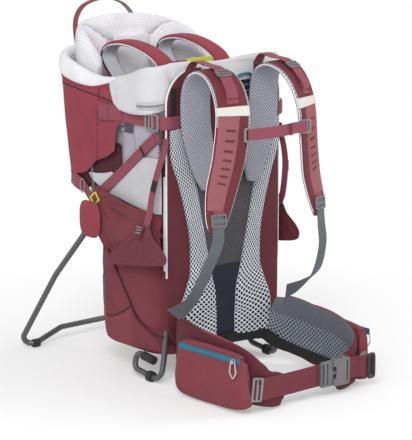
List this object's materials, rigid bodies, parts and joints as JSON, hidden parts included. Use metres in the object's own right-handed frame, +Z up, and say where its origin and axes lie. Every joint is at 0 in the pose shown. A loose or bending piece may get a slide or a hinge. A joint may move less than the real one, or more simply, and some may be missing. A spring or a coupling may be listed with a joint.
{
  "type": "child carrier backpack",
  "caption": "Framed child carrier worn on the back: padded cockpit over a storage bag, folding kickstand, shoulder harness and pocketed hip belt.",
  "frame": {"origin": "middle of the carrier's footprint on the floor it stands on", "axes": "+Z up; +X towards the wearer's left; -Y towards the wearer, so the kickstand is on the +Y side"},
  "size_m": [0.4288, 0.7011, 0.739],
  "materials": {
    "frame_metal": "satin",
    "pin_steel": "satin",
    "silver_plastic": "satin",
    "buckle_plastic": "satin",
    "black_plastic": "matte",
    "black_rubber": "matte",
    "yellow_plastic": "satin",
    "board_fabric": "matte",
    "spacer_mesh": "matte",
    "lumbar_fabric": "matte",
    "pad_fabric": "matte",
    "red_fabric": "matte",
    "dark_red_fabric": "matte",
    "pale_fabric": "matte",
    "red_webbing": "matte",
    "grey_webbing": "matte",
    "teal_webbing": "matte",
    "zip_metal": "satin",
    "pull_cord": "satin"
  },
  "bodies": {
    "carrier": {"main_frame": "frame_metal", "cockpit_hoop": "frame_metal", "hinge_pins": "pin_steel", "belt_triglides": "silver_plastic", "side_strap_locks": "silver_plastic", "strap_locks": "silver_plastic", "lifter_buckles": "silver_plastic", "buckle_socket": "buckle_plastic", "buckle_plug": "buckle_plastic", "hinge_brackets": "black_plastic", "height_ladders": "black_plastic", "frame_sleeves": "black_rubber", "skid_feet": "black_rubber", "child_buckle": "yellow_plastic", "leg_hooks": "yellow_plastic", "back_board": "board_fabric", "mesh_strips": "spacer_mesh", "hip_wing_left": "spacer_mesh", "hip_wing_right": "spacer_mesh", "lumbar_panel": "lumbar_fabric", "shoulder_pad_left": "pad_fabric", "shoulder_pad_right": "pad_fabric", "child_harness": "pad_fabric", "cockpit_shell": "red_fabric", "hinge_flaps": "red_fabric", "storage_bag": "dark_red_fabric", "hip_pocket_left": "dark_red_fabric", "hip_pocket_right": "dark_red_fabric", "chin_pad": "pale_fabric", "side_panels": "pale_fabric", "cockpit_lining": "pale_fabric", "cockpit_collar": "pale_fabric", "headrest": "pale_fabric", "centre_mesh": "pale_fabric", "grab_handle": "red_webbing", "belt_webbing": "red_webbing", "side_straps": "red_webbing", "leg_straps": "red_webbing", "load_lifters": "red_webbing", "strap_webbing": "grey_webbing", "haul_loop": "teal_webbing", "pocket_zips": "teal_webbing", "bag_zip": "teal_webbing"},
    "kickstand": {"kickstand": "frame_metal", "kickstand_feet": "black_rubber"},
    "zip_slider_left": {"zip_slider_left": "zip_metal"},
    "zip_slider_right": {"zip_slider_right": "zip_metal"},
    "zip_pull_left": {"zip_pull_left": "pull_cord"},
    "zip_pull_right": {"zip_pull_right": "pull_cord"},
    "buckle_prong_upper": {"buckle_prong_upper": "buckle_plastic"},
    "buckle_prong_lower": {"buckle_prong_lower": "buckle_plastic"},
    "sternum_strap": {"sternum_strap": "red_webbing", "sternum_hook": "silver_plastic", "sternum_lock": "silver_plastic"},
    "seat": {"seat_pad": "pale_fabric"},
    "stirrup_left": {"stirrup_left": "red_webbing"},
    "stirrup_right": {"stirrup_right": "red_webbing"}
  },
  "joints": [
    {"name": "kickstand_fold", "type": "hinge", "parent": "carrier", "child": "kickstand", "pos_m": [0, 0.155, 0.305], "axis": [-1, 0, 0], "range_deg": [0, 50]},
    {"name": "zip_slide_left", "type": "slide", "parent": "carrier", "child": "zip_slider_left", "axis": [0.0571, 0.9984, 0], "range_m": [0, 0.15]},
    {"name": "zip_slide_right", "type": "slide", "parent": "carrier", "child": "zip_slider_right", "axis": [-0.0571, 0.9984, 0], "range_m": [0, 0.15]},
    {"name": "zip_pull_swing_left", "type": "hinge", "parent": "zip_slider_left", "child": "zip_pull_left", "pos_m": [0.18026, -0.31025, 0.108], "axis": [-0.0571, -0.9984, 0], "range_deg": [0, 80]},
    {"name": "zip_pull_swing_right", "type": "hinge", "parent": "zip_slider_right", "child": "zip_pull_right", "pos_m": [-0.18026, -0.31025, 0.108], "axis": [-0.0571, 0.9984, 0], "range_deg": [0, 80]},
    {"name": "prong_squeeze_upper", "type": "hinge", "parent": "carrier", "child": "buckle_prong_upper", "pos_m": [0.0503, -0.3442, 0.0645], "axis": [0, 1, 0], "range_deg": [0, 8], "stiffness_Nm_per_rad": 0.05},
    {"name": "prong_squeeze_lower", "type": "hinge", "parent": "carrier", "child": "buckle_prong_lower", "pos_m": [0.0503, -0.3442, 0.0355], "axis": [0, -1, 0], "range_deg": [0, 8], "stiffness_Nm_per_rad": 0.05},
    {"name": "sternum_height", "type": "slide", "parent": "carrier", "child": "sternum_strap", "axis": [0, 0, 1], "range_m": [-0.05, 0.03]},
    {"name": "seat_height", "type": "slide", "parent": "carrier", "child": "seat", "axis": [0, 0, 1], "range_m": [0, 0.04]},
    {"name": "stirrup_swing_left", "type": "hinge", "parent": "carrier", "child": "stirrup_left", "pos_m": [0.1495, -0.07, 0.5], "axis": [1, 0, 0], "range_deg": [-8, 10]},
    {"name": "stirrup_swing_right", "type": "hinge", "parent": "carrier", "child": "stirrup_right", "pos_m": [-0.1495, -0.07, 0.5], "axis": [1, 0, 0], "range_deg": [-8, 10]}
  ]
}
